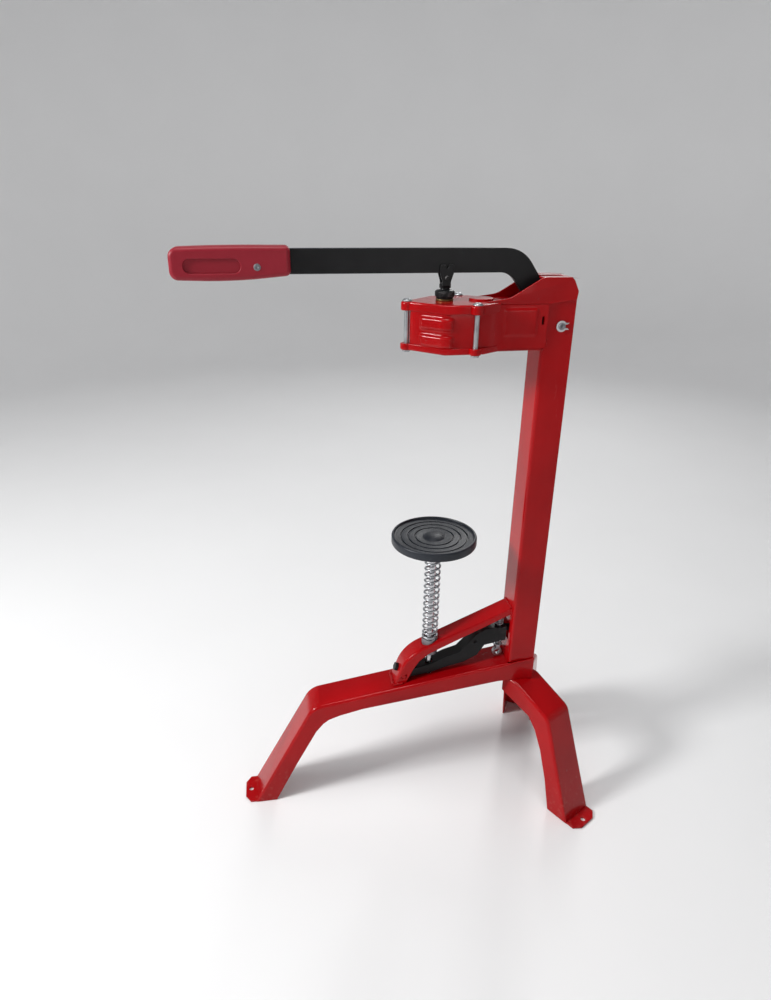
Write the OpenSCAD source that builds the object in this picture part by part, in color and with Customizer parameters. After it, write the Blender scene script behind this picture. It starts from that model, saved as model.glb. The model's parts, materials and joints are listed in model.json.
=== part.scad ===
// Floor-standing lever corker for wine bottles, three pressed-steel legs.
// Bottle axis is x = 0 before placing, floor is z = 0, hand lever points to -X,
// column stands at +X. Modelled with the hand lever down.

/* [Frame] */
// distance from the bottle axis to the front of the column
throat = 120; // [105:1:145]
// width of the column across its side walls
column_w = 47; // [40:1:58]
// depth of the column, front to back
column_d = 40; // [34:1:50]
// sheet thickness of column, legs and head
sheet = 2.5; // [2:0.1:3.5]
// height of the underside of the head above the floor
head_base = 700; // [640:5:840]
// height of the front leg's top face at the column
leg_top = 221.5; // [200:0.5:260]
// bottle axis to the front bolt-down hole
front_reach = 283; // [255:1:330]
// column centre to each rear bolt-down hole
rear_reach = 159; // [140:1:200]
// angle of each rear leg from straight back
rear_angle = 60; // [50:1:70]
// bolt-down hole in each toe
toe_hole = 7; // [5:0.5:10]

/* [Head and jaws] */
// height of the head over its cover plate
head_h = 58; // [52:1:70]
// bore through the closed jaws
jaw_bore = 16; // [15:0.5:18]
// side of the square jaw packet, centre to outer face
jaw_size = 22; // [20:0.5:24]
// hole in the ring the bottle mouth meets
mouth_bore = 24.6; // [20:0.2:26]
// diameter of the tie bolts
tie_d = 6; // [5:0.5:8]

/* [Hand lever and plunger] */
// depth of the flat lever bar
lever_h = 28; // [22:1:34]
// thickness of the flat lever bar
lever_t = 8; // [6:0.5:10]
// bottle axis to the end of the grip
lever_reach = 317.5; // [280:0.5:400]
// diameter of the lever pivot pin
pivot_d = 12; // [8:0.5:14]
// diameter of the plunger where it pushes the cork
plunger_d = 13.6; // [12:0.1:15]
// diameter of the depth collar
collar_d = 24; // [20:1:30]
// diameter of the plunger stem above the collar
stem_d = 9.5; // [8:0.5:12]

/* [Bottle platform] */
// diameter of the bottle plate
plate_d = 120; // [100:1:130]
// height of the bottle plate's rim with no bottle on it
plate_top = 440; // [400:1:470]
// diameter of the platform rod
rod_d = 10; // [8:0.5:12]
// outer diameter of the platform spring
spring_d = 24; // [20:0.5:28]
// wire of the platform spring
spring_wire = 3; // [2:0.1:4]
// number of turns of the platform spring
spring_turns = 18; // [12:1:22]

/* [Lock] */
// width of the arch bracket over the lock lever
arch_w = 32; // [28:1:38]
// width of the channel-shaped lock lever
lock_w = 20; // [16:1:24]
// diameter of the draw bolt behind the platform rod
draw_d = 6; // [5:0.5:8]

/* [Hidden] */
$fn = 48;
eps = 0.02;
run = 0.05;
fall = 0.155;
leg_w = column_w + 2 * sheet;
hw = leg_w / 2;
cw = column_w / 2;
col_x1 = throat + column_d;
xc = throat + column_d / 2;
hb = head_base;
ht = head_base + head_h;
gx = throat + 23;
gz = hb + 28.5;
bar_z = ht + 32;
jaw_z0 = hb + 2.8;
jaw_z1 = ht - 2.8;
wall_v = jaw_size + 12;
tie_x = 29;
ear_r = tie_d / 2 + 4.4;
tie_y = wall_v * sqrt(2) - 3.6;
wall_y = tie_y - tie_d / 2 - 0.5;
nose_x = wall_v * sqrt(2) - 2;
arm_d = [0.584, -0.812];
arm_n = [-0.812, -0.584];
lt = leg_top - 221.5;
leg_z = leg_top - 31;
rod_z = leg_top - fall * throat;
draw_x = throat - 12;
draw_z = rod_z + fall * draw_x + 9.26;
seat_z = rod_z + 63.6;
toe_x = gx + 15;
tail_z = rod_z + 68;
hinge_x = -41;
hinge_z = rod_z + 5.5;
xmin = -lever_reach;
xmax = xc + rear_reach * cos(rear_angle) + (hw - 1) * sin(rear_angle);
shift_x = -(xmin + xmax) / 2;

function fil(a, b, c, r, n) =
    let (u = (a - b) / norm(a - b),
         v = (c - b) / norm(c - b),
         h = acos(u * v) / 2,
         o = b + (u + v) / norm(u + v) * (r / sin(h)),
         p = b + u * (r / tan(h)),
         q = b + v * (r / tan(h)),
         s = atan2(p[1] - o[1], p[0] - o[0]),
         e = atan2(q[1] - o[1], q[0] - o[0]),
         d = ((e - s + 540) % 360) - 180)
    [for (i = [0:n]) o + r * [cos(s + d * i / n), sin(s + d * i / n)]];

function rounded(p, r, n = 5) =
    let (m = len(p))
    [for (i = [0:m - 1])
        each (r[i] > 0 ? fil(p[(i + m - 1) % m], p[i], p[(i + 1) % m], r[i], n) : [p[i]])];

function inside(a, b) = let (d = b - a) [-d[1], d[0]] / norm(d);

function offset_path(p, d) =
    let (m = len(p))
    [for (i = [0:m - 1])
        let (n1 = inside(p[max(i - 1, 0)], p[max(i, 1)]),
             n2 = inside(p[min(i, m - 2)], p[min(i + 1, m - 1)]),
             b = (n1 + n2) / norm(n1 + n2))
        p[i] + b * d / (b * n1)];

module placed() {
    translate([shift_x, 0, 0]) children();
}

module side(y0, y1) {
    translate([0, y1, 0])
        rotate([90, 0, 0])
            linear_extrude(height = y1 - y0)
                children();
}

module rod_y(x, z, d, y0, y1) {
    translate([x, y1, z])
        rotate([90, 0, 0])
            cylinder(d = d, h = y1 - y0);
}

module rod_x(z, d, x0, x1) {
    translate([x0, 0, z])
        rotate([0, 90, 0])
            cylinder(d = d, h = x1 - x0);
}

module mirror_y() {
    children();
    mirror([0, 1, 0]) children();
}

// ---------------------------------------------------------------- frame

module column() {
    color([0.72, 0.05, 0.08]) placed() difference() {
        side(-cw, cw)
            polygon([[throat, leg_z], [col_x1, leg_z], [col_x1, ht + 14],
                     [col_x1 - 12, ht + 25.5], [throat, ht + 25.5]]);
        translate([throat + sheet, -cw + sheet, rod_z - 50])
            cube([column_d, column_w - 2 * sheet, hb + 100]);
        translate([throat - 1, -cw + sheet, hb + 2])
            cube([sheet + 2, column_w - 2 * sheet, 200]);
        translate([throat - 1, -lock_w / 2 - 2, tail_z - 15])
            cube([sheet + 2, lock_w + 4, 30]);
        rod_y(gx, gz, pivot_d, -cw - 1, cw + 1);
    }
}

front_top = let (k = -(front_reach - 283))
    [for (p = concat([[col_x1, leg_top + fall * column_d]],
             fil([col_x1, leg_top + fall * column_d],
                 [-182 + k, leg_top - fall * (throat + 182 - k)],
                 [-275.5 + k, 0], 30, 8),
             [[-275.5 + k, 0]])) p];

module front_side() {
    k = -(front_reach - 283);
    polygon(concat(front_top,
        [[-243 + k, 0], [-208.6 + k, 69.3], [-177 + k, 129 + lt], [-165.7 + k, 143 + lt],
         [-157 + k, 149.6 + lt], [-140 + k, 155.6 + lt], [-106 + k, 163.5 + lt],
         [throat - 15, leg_z], [col_x1, leg_z]]));
}

module toe(x0, x1, xh) {
    difference() {
        linear_extrude(height = 3)
            polygon([[x0, -hw + 1], [x1 - 8, -hw + 1], [x1, -14],
                     [x1, 14], [x1 - 8, hw - 1], [x0, hw - 1]]);
        translate([xh, 0, -1]) cylinder(d = toe_hole, h = 5);
    }
}

module front_leg() {
    cut = offset_path(front_top, sheet);
    color([0.78, 0.06, 0.08]) placed() {
        difference() {
            side(-hw, hw) front_side();
            side(-hw + sheet, hw - sheet)
                polygon(concat(cut, [[cut[len(cut) - 1][0], -5], [col_x1 + 5, -5], [col_x1 + 5, 100]]));
            translate([throat, -cw, rod_z])
                cube([column_d + 1, column_w, 60]);
            translate([0, 0, rod_z - 10]) cylinder(d = rod_d + 1.4, h = 30);
        }
        mirror([1, 0, 0])
            toe(front_reach - 12, front_reach + 8.5, front_reach);
    }
}

rear_top = let (k = rear_reach - 159)
    concat([[0, leg_z], [27, leg_z]],
           fil([27, leg_z], [90 + k, rod_z - 39], [148 + k, 0], 18, 6),
           [[148 + k, 0]]);

module rear_leg(s) {
    k = rear_reach - 159;
    flip = [for (i = [len(rear_top) - 1:-1:0]) rear_top[i]];
    cut = offset_path(flip, sheet);
    translate([xc, 0, 0]) rotate([0, 0, s * rear_angle]) {
        difference() {
            side(-hw, hw)
                polygon(concat(rear_top,
                    [[111 + k, 0], [99 + k, 52.6], [84 + k, 100], [70 + k, 130 + lt],
                     [56 + k, 147 + lt], [0, 163 + lt]]));
            side(-hw + sheet, hw - sheet)
                polygon(concat([[cut[0][0], -5]], cut, [[-5, leg_z - sheet], [-5, -5]]));
        }
        toe(rear_reach - 12, rear_reach + 8, rear_reach);
    }
}

module rear_leg_near() {
    color([0.74, 0.05, 0.08]) placed() difference() {
        rear_leg(-1);
        translate([-200, 0, -1]) cube([600, 200, 400]);
    }
}

module rear_leg_far() {
    color([0.74, 0.05, 0.08]) placed() difference() {
        rear_leg(1);
        translate([-200, -200, -1]) cube([600, 200, 400]);
    }
}

arch_top = concat([[throat, rod_z + 113]],
    fil([throat, rod_z + 113], [-38, rod_z + 42], [-57, rod_z - 8.8], 60, 10),
    [[-57, rod_z - 8.8]]);

module arch_bracket() {
    aw = arch_w / 2;
    cut = offset_path(arch_top, sheet);
    low = [[-38, rod_z - 5.9], [-33, rod_z + 5], [-27, rod_z + 18], [-18, rod_z + 32],
           [-5, rod_z + 43], [10, rod_z + 50.5], [28, rod_z + 59], [throat, rod_z + 102]];
    color([0.75, 0.05, 0.08]) placed() difference() {
        side(-aw, aw) polygon(concat(arch_top, low));
        side(-aw + sheet, aw - sheet)
            polygon(concat(cut, [[-48, rod_z - 30], [throat + 5, rod_z - 30], [throat + 5, rod_z + 100]]));
        translate([0, 0, rod_z + 20]) cylinder(d = spring_d, h = 80);
        rod_y(hinge_x, hinge_z, 6, -aw - 1, aw + 1);
        stop_at() cylinder(d = 8, h = 12, center = true);
    }
}

module guide_bush() {
    color([0.62, 0.63, 0.65]) placed() difference() {
        translate([0, 0, seat_z - 26]) cylinder(d = spring_d, h = 26);
        translate([0, 0, seat_z - 30]) cylinder(d = rod_d + 2 * run, h = 40);
    }
}

module stop_at() {
    translate([-48.6, 0, rod_z + 13.5])
        rotate([0, -69.5, 0])
            children();
}

module stop_bolt() {
    color([0.06, 0.06, 0.07]) placed() stop_at() {
        translate([0, 0, -4]) cylinder(d = 8, h = 7);
        translate([0, 0, 0.1]) cylinder(d = 13.5, h = 5, $fn = 6);
    }
}

module draw_bolt() {
    color([0.66, 0.66, 0.68]) placed() {
        translate([draw_x, 0, draw_z + 4]) cylinder(d = draw_d, h = rod_z + 103.5 - draw_z - 4);
        translate([draw_x, 0, draw_z + 14]) cylinder(d = 14, h = 1.6);
        translate([draw_x, 0, draw_z + 9]) cylinder(d = 11.5, h = 5, $fn = 6);
        difference() {
            rod_y(draw_x, draw_z, 15, -2.5, 2.5);
            rod_y(draw_x, draw_z, 8, -4, 4);
        }
    }
}

module lock_pin() {
    aw = arch_w / 2;
    color([0.6, 0.6, 0.62]) placed() {
        rod_y(hinge_x, hinge_z, 6, -aw - 0.6, aw + 0.6);
    }
}

// ----------------------------------------------------------------- head

module plan(g) {
    m = wall_v * sqrt(2);
    a = [for (p = [[-m + 7 - g, -7 - g * 0.4], [-m + wall_y - g * 0.4, -wall_y - g],
                   [tie_x + 11, -wall_y - g], [tie_x + 34, -cw - sheet - g]]) p];
    b = [for (i = [len(a) - 1:-1:0]) [a[i][0], -a[i][1]]];
    polygon(concat(a, b));
}

module ears(r) {
    translate([-nose_x, 0]) circle(r = r);
    translate([tie_x, -tie_y]) circle(r = r);
    translate([tie_x, tie_y]) circle(r = r);
}

module ear_webs(g) {
    m = wall_v * sqrt(2);
    polygon([[-nose_x, -6.4], [-m + 20, -18], [-m + 20, 18], [-nose_x, 6.4]]);
    for (s = [-1, 1])
        polygon([[tie_x - 6.4, s * tie_y], [tie_x - 12, s * (wall_y - 2)],
                 [tie_x + 16, s * (wall_y - 4)], [tie_x + 6.4, s * tie_y]]);
}

module facet(s) {
    rotate([0, 0, -s * 45])
        translate([0, -s * wall_v, 0])
            children();
}

module head_wall() {
    z0 = hb + sheet;
    color([0.78, 0.06, 0.08]) placed() {
        difference() {
            union() {
                translate([0, 0, z0]) linear_extrude(height = head_h - 2 * sheet) plan(0);
                for (s = [-1, 1])
                    translate([tie_x + 30, s > 0 ? cw : -cw - sheet, z0])
                        cube([throat + 4 - tie_x - 30, sheet, head_h - 2 * sheet]);
            }
            translate([0, 0, z0 - 1]) linear_extrude(height = head_h) plan(-sheet);
            translate([tie_x + 20, -cw, z0 - 1]) cube([throat, column_w, head_h]);
            for (s = [-1, 1])
                translate([throat - 4, s * (cw + 1) - 2, hb + 32]) cube([4, 4, 12]);
        }
        for (s = [-1, 1]) {
            facet(-s) for (z = [hb + 11, hb + 30])
                translate([-10, s > 0 ? -0.2 : -1.8, z]) cube([32, 2, 12]);
            translate([tie_x + 40, s > 0 ? cw + sheet : -cw - sheet - 1.2, hb + 15])
                cube([throat - 6 - tie_x - 40, 1.2, 31]);
        }
    }
}

module head_cover() {
    color([0.8, 0.07, 0.09]) placed() {
        difference() {
            translate([0, 0, ht - 10.5]) linear_extrude(height = 10.5) union() {
                plan(sheet);
                ears(ear_r);
                ear_webs(0);
            }
            translate([0, 0, ht - 11]) linear_extrude(height = 11 - sheet) plan(0);
            translate([tie_x + 20, -cw - sheet, ht - 11])
                cube([80, column_w + 2 * sheet, 11 - sheet]);
            translate([0, 0, ht - 10]) cylinder(d = 20, h = 20);
            translate([-nose_x, 0, ht - 12]) cylinder(d = tie_d, h = 14);
            for (s = [-1, 1])
                translate([tie_x, s * tie_y, ht - 12]) cylinder(d = tie_d, h = 14);
        }
        translate([tie_x + 30, -cw - sheet, ht - sheet])
            cube([throat - 32 - tie_x - 30, column_w + 2 * sheet, sheet]);
        translate([46, 0, ht - eps]) cylinder(d = 30, h = 2.6);
        for (s = [0, 1]) mirror([0, s, 0])
            difference() {
                side(-cw - sheet, -cw)
                    polygon(rounded([[42, ht - sheet], [throat + 4, ht - sheet], [col_x1 - 1, ht + 2],
                                     [col_x1, ht + 12], [col_x1 - 8, ht + 28], [throat - 6, ht + 28.5],
                                     [throat - 46, ht + 4.5], [45, ht + 0.6]],
                                    [0, 0, 0, 0, 8, 22, 30, 0]));
                rod_y(gx, gz, pivot_d + 2, -cw - 5, -cw + 1);
            }
        difference() {
            translate([throat - 5, -cw, ht + 25.5])
                cube([column_d - 3, column_w, sheet]);
            translate([throat - 20, -7, ht + 20]) cube([20 + 28, 14, 12]);
        }
    }
}

module head_floor() {
    color([0.74, 0.05, 0.08]) placed() difference() {
        translate([0, 0, hb]) union() {
            linear_extrude(height = 8) union() {
                plan(sheet);
                ears(ear_r);
                ear_webs(0);
            }
            translate([tie_x + 30, -cw - sheet, 0])
                cube([throat - tie_x - 30, column_w + 2 * sheet, sheet]);
        }
        translate([0, 0, hb + sheet]) linear_extrude(height = 9) plan(0);
        translate([tie_x + 20, -cw - sheet, hb + sheet])
            cube([80, column_w + 2 * sheet, 9]);
        translate([0, 0, hb - 1]) cylinder(d = 36, h = 10);
        at_ties() translate([0, 0, hb - 1]) cylinder(d = tie_d, h = 12);
    }
}

module at_ties() {
    translate([-nose_x, 0, 0]) children();
    translate([tie_x, -tie_y, 0]) children();
    translate([tie_x, tie_y, 0]) children();
}

module tie_bolts() {
    color([0.7, 0.71, 0.73]) placed() at_ties() {
        translate([0, 0, hb - 2.8]) cylinder(d = tie_d, h = head_h + 2.8);
        translate([0, 0, ht]) cylinder(d = tie_d + 6, h = 1.2);
        translate([0, 0, ht + 1.2]) cylinder(d1 = tie_d + 6, d2 = tie_d, h = 1.8);
    }
}

module tie_nuts() {
    color([0.66, 0.67, 0.69]) placed() at_ties()
        difference() {
            translate([0, 0, hb - 2.4]) cylinder(d = tie_d + 5, h = 2.4, $fn = 6);
            translate([0, 0, hb - 3]) cylinder(d = tie_d, h = 4);
        }
}

module mouth_ring() {
    color([0.75, 0.6, 0.3]) placed() difference() {
        union() {
            translate([0, 0, hb - 2]) cylinder(d = 40, h = 2);
            translate([0, 0, hb - 2]) cylinder(d = 36, h = 2 + sheet);
        }
        translate([0, 0, hb - 3]) cylinder(d = mouth_bore, h = 10);
        translate([0, 0, hb - 3]) cylinder(d = 31, h = 3);
    }
}

module jaw_cage() {
    v0 = jaw_size + 2.2;
    v1 = wall_v - sheet - 0.1;
    m0 = v0 * sqrt(2);
    m1 = v1 * sqrt(2);
    y1 = wall_y - sheet - 0.1;
    color([0.55, 0.55, 0.57]) placed() translate([0, 0, hb + sheet])
        linear_extrude(height = head_h - 2 * sheet)
            polygon([[-m0, 0], [-m0 + y1, -y1], [-m1 + y1, -y1], [-m1 + 6.3, -6.3],
                     [-m1 + 6.3, 6.3], [-m1 + y1, y1], [-m0 + y1, y1]]);
}

module plunger_bush() {
    color([0.55, 0.42, 0.22]) placed() difference() {
        union() {
            translate([0, 0, ht - sheet]) cylinder(d = 20, h = sheet);
            translate([0, 0, ht]) cylinder(d = 21.5, h = 2.3);
        }
        translate([0, 0, ht - 5]) cylinder(d = plunger_d + 0.2, h = 12);
    }
}

module pivot_pin() {
    color([0.68, 0.69, 0.71]) placed()
        rod_y(gx, gz, pivot_d, -cw - 4, cw + 4);
}

module pivot_clips() {
    color([0.74, 0.75, 0.77]) placed() for (s = [0, 1]) mirror([0, s, 0])
        difference() {
            rod_y(gx, gz, pivot_d + 7, -cw - 2, -cw);
            rod_y(gx, gz, pivot_d, -cw - 3, -cw + 1);
            translate([gx + 2, -cw - 3, gz - 2.6]) cube([20, 4, 5.2]);
        }
}

module pivot_spacers() {
    color([0.5, 0.5, 0.52]) placed() for (s = [0, 1]) mirror([0, s, 0])
        difference() {
            rod_y(gx, gz, pivot_d + 3, -cw + sheet, -lever_t / 2 - 0.3);
            rod_y(gx, gz, pivot_d, -cw, 0);
        }
}

// ----------------------------------------------------------- hand lever

module hand_lever() {
    g = [gx, gz];
    z0 = bar_z;
    z1 = bar_z + lever_h;
    nl = 16;
    nr = lever_h - nl;
    pl = [gx - (nl + 0.584 * (z0 - gz)) / 0.812, z0];
    pr = [gx + (nr - 0.584 * (z1 - gz)) / 0.812, z1];
    ll = g + nl * arm_n + 14.5 * arm_d;
    lr = g - nr * arm_n + 14.5 * arm_d;
    t = lever_t / 2;
    color([0.05, 0.05, 0.06]) placed() difference() {
        union() {
            side(-t, t)
                polygon(rounded([[-lever_reach + 18, z0], pl, ll, lr, pr, [-lever_reach + 18, z1]],
                                [4, 24, 13, 11, 40, 4], 7));
            rod_y(toe_x, gz, 12, -t, t);
        }
        rod_y(gx, gz, pivot_d + 2 * run, -t - 1, t + 1);
        rod_y(toe_x, gz, 5, -t - 1, t + 1);
        rod_y(-221, bar_z + 8.8, 5, -t - 1, t + 1);
    }
}

module toe_pin() {
    color([0.65, 0.65, 0.68]) placed() {
        rod_y(toe_x, gz, 5, -lever_t / 2 - 1, 10.5);
        rod_y(toe_x, gz, 8, 9.6, 10.6);
    }
}

module grip_outline(i) {
    x = -lever_reach;
    polygon(rounded([[x + i, bar_z - 5 + i * 0.4], [x + 68, bar_z - 7 + i], [x + 134 - i, bar_z - 1 + i],
                     [x + 134 - i, bar_z + 31 - i], [x + 60, bar_z + 31.5 - i], [x + i, bar_z + 29.5 - i]],
                    [12, 20, 6, 5, 30, 11], 6));
}

module lever_grip() {
    t = lever_t / 2;
    x = -lever_reach;
    color([0.7, 0.08, 0.13]) placed() difference() {
        union() {
            side(-10, 10) grip_outline(0);
            side(-12.5, 12.5) grip_outline(2);
            side(-14, 14) grip_outline(5);
        }
        side(-t, t)
            polygon(rounded([[x + 18, bar_z], [x + 140, bar_z],
                             [x + 140, bar_z + lever_h], [x + 18, bar_z + lever_h]],
                            [4, 0, 0, 4], 7));
        for (s = [0, 1]) mirror([0, s, 0]) {
            translate([x + 24, -20, bar_z - 1]) {
                translate([0, 0, 2]) cube([46, 8.6, 16]);
                rod_y(0, 10, 16, 0, 8.6);
                rod_y(46, 10, 16, 0, 8.6);
            }
        }
        rod_y(-221, bar_z + 8.8, 5, -20, 20);
    }
}

module grip_rivet() {
    color([0.3, 0.3, 0.32]) placed() {
        rod_y(-221, bar_z + 8.8, 5, -14, 14);
        for (s = [0, 1]) mirror([0, s, 0])
            rod_y(-221, bar_z + 8.8, 8, -15, -14);
    }
}

// --------------------------------------------------------------- plunger

module plunger_rod() {
    color([0.6, 0.6, 0.62]) placed() {
        translate([0, 0, hb - 2]) cylinder(d = plunger_d, h = head_h + 4.6);
        translate([0, 0, hb - 3]) cylinder(d1 = plunger_d - 2, d2 = plunger_d, h = 1);
        translate([0, 0, ht + 2.6]) cylinder(d = stem_d, h = 16.4);
    }
}

module depth_collar() {
    color([0.07, 0.07, 0.08]) placed() difference() {
        union() {
            translate([0, 0, ht + 2.6]) cylinder(d = collar_d - 3, h = 2);
            translate([0, 0, ht + 4.6]) cylinder(d = collar_d, h = 6.4);
            translate([0, 0, ht + 11]) cylinder(d1 = collar_d, d2 = collar_d - 3, h = 1.4);
        }
        translate([0, 0, ht]) cylinder(d = stem_d, h = 20);
    }
}

module plunger_fork() {
    q = lever_t / 2 + 0.6;
    color([0.07, 0.06, 0.07]) placed() difference() {
        union() {
            translate([0, 0, ht + 14.5]) cylinder(d = stem_d + 4.5, h = 5);
            side(-q - 3.4, q + 3.4)
                polygon(rounded([[-4.8, ht + 17], [4.8, ht + 17], [5.4, ht + 23], [8.3, ht + 32],
                                 [8.3, ht + 42], [2.6, ht + 42], [0, ht + 35.5], [-2.6, ht + 42],
                                 [-8.3, ht + 42], [-8.3, ht + 32], [-5.4, ht + 23]],
                                [1, 1, 6, 4, 2.8, 2.4, 1, 2.4, 2.8, 4, 6], 4));
        }
        translate([-20, -q, ht + 21]) cube([40, 2 * q, 40]);
        translate([0, 0, ht + 10]) cylinder(d = stem_d, h = 9);
        rod_y(0, bar_z - 5.2, 4, -20, 20);
    }
}

module fork_roller() {
    q = lever_t / 2 + 0.3;
    color([0.62, 0.62, 0.64]) placed() difference() {
        rod_y(0, bar_z - 5.2, 9.6, -q, q);
        rod_y(0, bar_z - 5.2, 4, -q - 1, q + 1);
    }
}

module fork_pin() {
    q = lever_t / 2 + 4;
    color([0.7, 0.7, 0.72]) placed() {
        rod_y(0, bar_z - 5.2, 4, -q - 1.5, q + 1.5);
        for (s = [0, 1]) mirror([0, s, 0])
            rod_y(0, bar_z - 5.2, 5.6, -q - 1.2, -q);
    }
}

// ------------------------------------------------------------------ jaws

module jaw(su, sv, du, dv) {
    c = 0.1;
    translate([0, 0, jaw_z0]) difference() {
        linear_extrude(height = jaw_z1 - jaw_z0)
            rotate([0, 0, -45])
                polygon([[su * c, sv * c], [su * du, sv * c], [su * du, sv * dv], [su * c, sv * dv]]);
        translate([0, 0, -1]) cylinder(d = jaw_bore, h = 100);
    }
}

module jaw_front() {
    color([0.76, 0.6, 0.3]) placed() jaw(-1, -1, jaw_size + 2, jaw_size + 2);
}

module jaw_near() {
    color([0.76, 0.6, 0.3]) placed() jaw(1, -1, jaw_size, jaw_size + 2);
}

module jaw_far() {
    color([0.76, 0.6, 0.3]) placed() jaw(-1, 1, jaw_size + 2, jaw_size);
}

module jaw_rear() {
    color([0.76, 0.6, 0.3]) placed() jaw(1, 1, jaw_size, jaw_size);
}

module jaw_pusher() {
    m = jaw_size * sqrt(2);
    nx = gx - 33.9;
    color([0.45, 0.45, 0.47]) placed() {
        translate([0, 0, hb + 8]) linear_extrude(height = head_h - 14)
            polygon([[m, 0], [m - 11, -11], [m + 1, -17], [m + 9, -17],
                     [m + 9, 17], [m + 1, 17], [m - 11, 11]]);
        translate([m + 8, -6, gz + 6]) cube([nx - m - 8, 12, 12]);
        rod_y(nx, gz + 12, 8, -6, 6);
    }
}

// -------------------------------------------------------------- platform

module bottle_plate() {
    r = plate_d / 2;
    z = plate_top;
    color([0.07, 0.09, 0.13]) placed() difference() {
        union() {
            translate([0, 0, z - 12]) cylinder(r = r, h = 10, $fn = 96);
            translate([0, 0, z - 2]) cylinder(r1 = r, r2 = r - 1.5, h = 2, $fn = 96);
            translate([0, 0, z - 24]) cylinder(d = spring_d + 7, h = 13);
            translate([0, 0, z - 4]) cylinder(d1 = 34, d2 = 26, h = 4);
        }
        translate([0, 0, z - 3]) difference() {
            cylinder(r = r - 4, h = 5, $fn = 96);
            translate([0, 0, -1]) cylinder(d1 = 34, d2 = 26, h = 4.01);
            translate([0, 0, 2.9]) cylinder(d = 26, h = 3);
        }
        for (q = [r - 12, r - 22, r - 32])
            translate([0, 0, z - 4.6]) difference() {
                cylinder(r = q, h = 4, $fn = 72);
                translate([0, 0, -1]) cylinder(r = q - 2.4, h = 6, $fn = 72);
            }
        translate([0, 0, z - 13]) difference() {
            cylinder(r = r - 3, h = 5, $fn = 96);
            translate([0, 0, -1]) cylinder(d = spring_d + 7, h = 7);
        }
        translate([0, 0, z - 25]) cylinder(d = spring_d + 1, h = 11);
        translate([0, 0, z - 30]) cylinder(d = rod_d, h = 22);
    }
}

module platform_rod() {
    color([0.7, 0.71, 0.73]) placed() {
        translate([0, 0, rod_z - 16]) cylinder(d = rod_d, h = plate_top - 8 - rod_z + 16);
        translate([0, 0, rod_z - 18]) cylinder(d1 = rod_d - 3, d2 = rod_d, h = 2);
    }
}

module stop_ring() {
    color([0.5, 0.5, 0.52]) placed() difference() {
        translate([0, 0, rod_z - 7.6]) cylinder(d = 18, h = 3);
        translate([0, 0, rod_z - 9]) cylinder(d = rod_d, h = 6);
    }
}

module coil(d, w, h, turns) {
    r = (d - w) / 2;
    p = (h - w) / turns;
    for (i = [0:turns])
        translate([0, 0, w / 2 + p * i])
            rotate_extrude()
                translate([r, 0]) circle(d = w, $fn = 16);
    translate([-r, 0, w / 2]) cylinder(d = w * 0.5, h = h - w);
}

module platform_spring() {
    color([0.74, 0.75, 0.77]) placed()
        translate([0, 0, seat_z])
            coil(spring_d, spring_wire, plate_top - 14 - seat_z, spring_turns);
}

// ------------------------------------------------------------------ lock

module lock_lever() {
    t = lock_w / 2;
    z = rod_z;
    h = [hinge_x, hinge_z];
    up = [[hinge_x - 5, z + 9], [hinge_x + 6, z + 12], [0, z + 20], [24, z + 31], [44, z + 37],
          [57, z + 51], [69, z + 66], [84, z + 74.5], [96, z + 75.5], [throat - 3, z + 75.5]];
    flip = [for (i = [len(up) - 1:-1:0]) up[i]];
    cut = offset_path(flip, 2.5);
    color([0.05, 0.05, 0.06]) placed() difference() {
        union() {
            difference() {
                side(-t, t)
                    polygon(concat(up, [[throat - 3, z + 52], [84, z + 46], [73, z + 29],
                                        [52, z + 18], [28, z + 13], [0, z + 4],
                                        [hinge_x + 5, z - 0.5], [hinge_x - 5, z + 1]]));
                side(-t + 2.5, t - 2.5)
                    polygon(concat([[throat, z + 73]], cut, [[hinge_x - 20, z + 5], [hinge_x - 20, z - 10],
                                        [throat, z - 10]]));
            }
            translate([throat - 10, -4, z + 65]) cube([toe_x - throat + 10, 8, 8.2]);
            rod_y(toe_x, tail_z + 1, 12, -4, 4);
        }
        rod_y(hinge_x, hinge_z, 6 + 2 * run, -t - 1, t + 1);
        rod_y(68.5, z + 54, 5, -t - 1, t + 1);
        translate([-0.3, 0, z + 10]) cylinder(d = rod_d + 2, h = 40);
        translate([draw_x, 0, z + 50]) cylinder(d = draw_d + 6, h = 40);
        rod_y(toe_x, tail_z + 1, 5, -t - 1, t + 1);
    }
}

module tail_pin() {
    color([0.65, 0.65, 0.68]) placed() {
        rod_y(toe_x, tail_z + 1, 5, -5, 10.5);
        rod_y(toe_x, tail_z + 1, 8, 9.6, 10.6);
    }
}

module pull_rod() {
    color([0.66, 0.67, 0.69]) placed() difference() {
        union() {
            translate([toe_x, 7.3, tail_z + 7]) cylinder(d = 4.4, h = gz - tail_z - 12);
            rod_y(toe_x, gz, 12, 5.8, 8.8);
            rod_y(toe_x, tail_z + 1, 14, 5.8, 8.8);
        }
        rod_y(toe_x, gz, 7.6, 4, 11);
        rod_y(toe_x, tail_z + 1, 9.4, 4, 11);
    }
}

module lock_spring() {
    z0 = rod_z + 76;
    color([0.74, 0.75, 0.77]) placed()
        translate([draw_x, 0, z0])
            coil(13, 1.8, 24.5, 6);
}

// ------------------------------------------------------------- selection

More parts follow.
